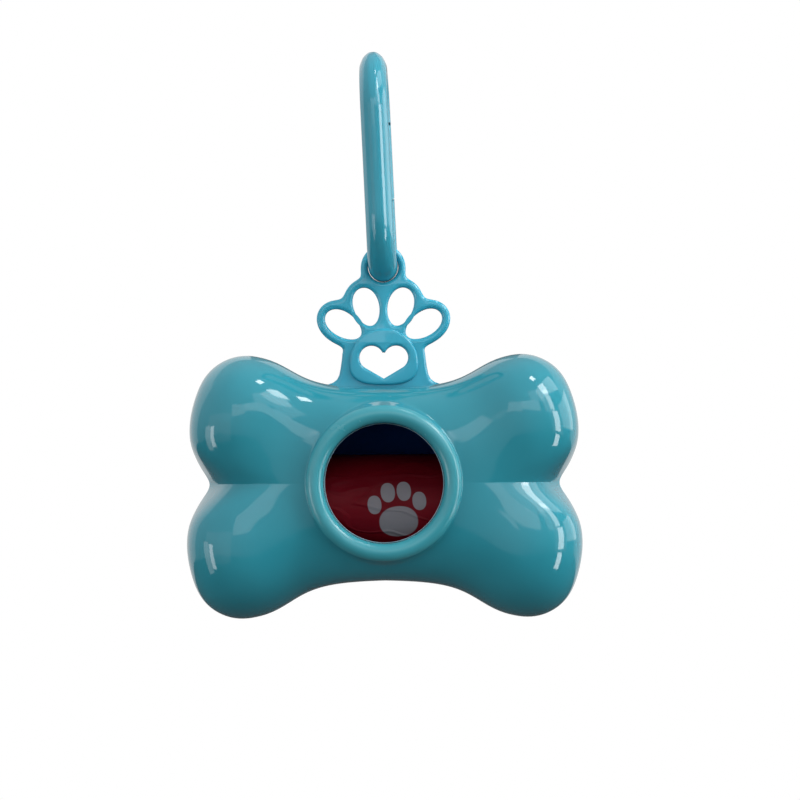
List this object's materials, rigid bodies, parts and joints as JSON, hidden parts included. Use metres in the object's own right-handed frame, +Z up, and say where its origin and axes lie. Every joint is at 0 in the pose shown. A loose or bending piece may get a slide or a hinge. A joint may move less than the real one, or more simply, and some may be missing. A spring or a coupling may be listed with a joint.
{
  "type": "waste bag dispenser",
  "caption": "Bone-shaped snap-together case with a round outlet for a roll of waste bags, with a paw-shaped hanger and a spring-gate clip.",
  "frame": {"origin": "inside top of the clip, the point that hangs on a strap or ring", "axes": "+Z up, towards the top of the clip; +Y from the outlet side to the closed rear side; +X to the right when the outlet is seen from the front"},
  "size_m": [0.0877, 0.0423, 0.1267],
  "materials": {
    "case_plastic": "polished moulded plastic, teal blue",
    "clip_plastic": "moulded plastic, teal blue",
    "spring_steel": "bright wire and pin",
    "bag_film": "thin folded film, dark red",
    "core_board": "grey-brown wound paperboard"
  },
  "bodies": {
    "clip": {"carabiner_body": "clip_plastic", "gate_pin": "spring_steel", "gate_spring": "spring_steel"},
    "gate": {"carabiner_gate": "clip_plastic"},
    "case_rear": {"rear_shell": "case_plastic"},
    "case_front": {"front_shell": "case_plastic", "outlet_ring": "case_plastic"},
    "roll": {"bag_roll": "bag_film", "roll_core": "core_board"}
  },
  "joints": [
    {"name": "gate_hinge", "type": "hinge", "parent": "clip", "child": "gate", "pos_m": [0.00149, 0.01115, -0.02866], "axis": [0.9988, -0.0262, 0.0419], "range_deg": [0, 28], "stiffness_Nm_per_rad": 0.02, "springref_deg": -17.19, "deforming": ["gate_spring"]},
    {"name": "case_swing", "type": "hinge", "parent": "clip", "child": "case_rear", "pos_m": [0.00176, 0, -0.04201], "axis": [0, 1, 0], "range_deg": [-90, 90]},
    {"name": "front_pull", "type": "slide", "parent": "case_rear", "child": "case_front", "axis": [0, -1, 0], "range_m": [0, 0.03]},
    {"name": "roll_spin", "type": "hinge", "parent": "case_rear", "child": "roll", "pos_m": [0.00176, -0.0012, -0.09663], "axis": [1, 0, 0], "continuous": true}
  ]
}
